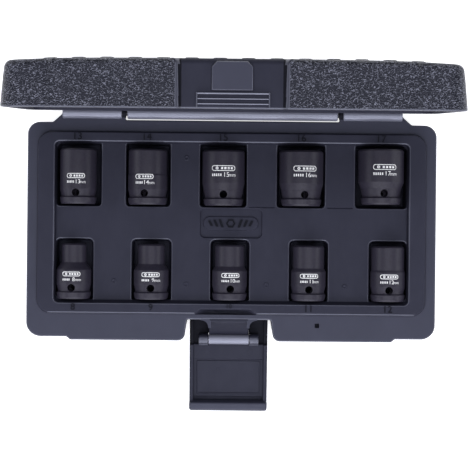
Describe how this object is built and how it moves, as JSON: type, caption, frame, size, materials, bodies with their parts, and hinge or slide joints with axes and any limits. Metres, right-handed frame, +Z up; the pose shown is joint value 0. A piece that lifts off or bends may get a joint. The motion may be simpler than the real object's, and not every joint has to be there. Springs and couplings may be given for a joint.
{
  "type": "impact socket set in case",
  "caption": "Short impact sockets lying in a moulded tray, in a flat blow-moulded case with a hinged lid and a swing-over front latch.",
  "frame": {"origin": "centre of the base's flat underside, on the surface that it stands on", "axes": "+X along the case's width to the right of someone facing the latch, +Y from the latch to the hinge, +Z up"},
  "size_m": [0.223, 0.1882, 0.1471],
  "materials": {
    "case_plastic": "blow-moulded blue-black polyethylene, satin inside, pebble grain outside",
    "latch_plastic": "injection-moulded blue-black polypropylene, satin",
    "pin_steel": "plain drawn steel wire",
    "phosphate_steel": "black phosphate coat on forged steel, matt, with white laser marking"
  },
  "bodies": {
    "base": {"case_base": "case_plastic", "hinge_pin_left": "pin_steel", "hinge_pin_right": "pin_steel", "latch_pin": "pin_steel"},
    "lid": {"case_lid": "case_plastic"},
    "latch": {"latch": "latch_plastic"},
    "socket_08_body": {"socket_08": "phosphate_steel"},
    "socket_09_body": {"socket_09": "phosphate_steel"},
    "socket_10_body": {"socket_10": "phosphate_steel"},
    "socket_11_body": {"socket_11": "phosphate_steel"},
    "socket_12_body": {"socket_12": "phosphate_steel"},
    "socket_13_body": {"socket_13": "phosphate_steel"},
    "socket_14_body": {"socket_14": "phosphate_steel"},
    "socket_15_body": {"socket_15": "phosphate_steel"},
    "socket_16_body": {"socket_16": "phosphate_steel"},
    "socket_17_body": {"socket_17": "phosphate_steel"}
  },
  "joints": [
    {"name": "lid_hinge", "type": "hinge", "parent": "base", "child": "lid", "pos_m": [0, 0.0636, 0.02315], "axis": [-1, 0, 0], "range_deg": [-86.4, 0]},
    {"name": "latch_pivot", "type": "hinge", "parent": "base", "child": "latch", "pos_m": [-0.001, -0.0599, 0.0116], "axis": [1, 0, 0], "range_deg": [-100.3, 0]},
    {"name": "socket_08_lift", "type": "slide", "parent": "base", "child": "socket_08_body", "axis": [0, 0, 1], "range_m": [0, 0.04]},
    {"name": "socket_09_lift", "type": "slide", "parent": "base", "child": "socket_09_body", "axis": [0, 0, 1], "range_m": [0, 0.04]},
    {"name": "socket_10_lift", "type": "slide", "parent": "base", "child": "socket_10_body", "axis": [0, 0, 1], "range_m": [0, 0.04]},
    {"name": "socket_11_lift", "type": "slide", "parent": "base", "child": "socket_11_body", "axis": [0, 0, 1], "range_m": [0, 0.04]},
    {"name": "socket_12_lift", "type": "slide", "parent": "base", "child": "socket_12_body", "axis": [0, 0, 1], "range_m": [0, 0.04]},
    {"name": "socket_13_lift", "type": "slide", "parent": "base", "child": "socket_13_body", "axis": [0, 0, 1], "range_m": [0, 0.04]},
    {"name": "socket_14_lift", "type": "slide", "parent": "base", "child": "socket_14_body", "axis": [0, 0, 1], "range_m": [0, 0.04]},
    {"name": "socket_15_lift", "type": "slide", "parent": "base", "child": "socket_15_body", "axis": [0, 0, 1], "range_m": [0, 0.04]},
    {"name": "socket_16_lift", "type": "slide", "parent": "base", "child": "socket_16_body", "axis": [0, 0, 1], "range_m": [0, 0.04]},
    {"name": "socket_17_lift", "type": "slide", "parent": "base", "child": "socket_17_body", "axis": [0, 0, 1], "range_m": [0, 0.04]}
  ]
}
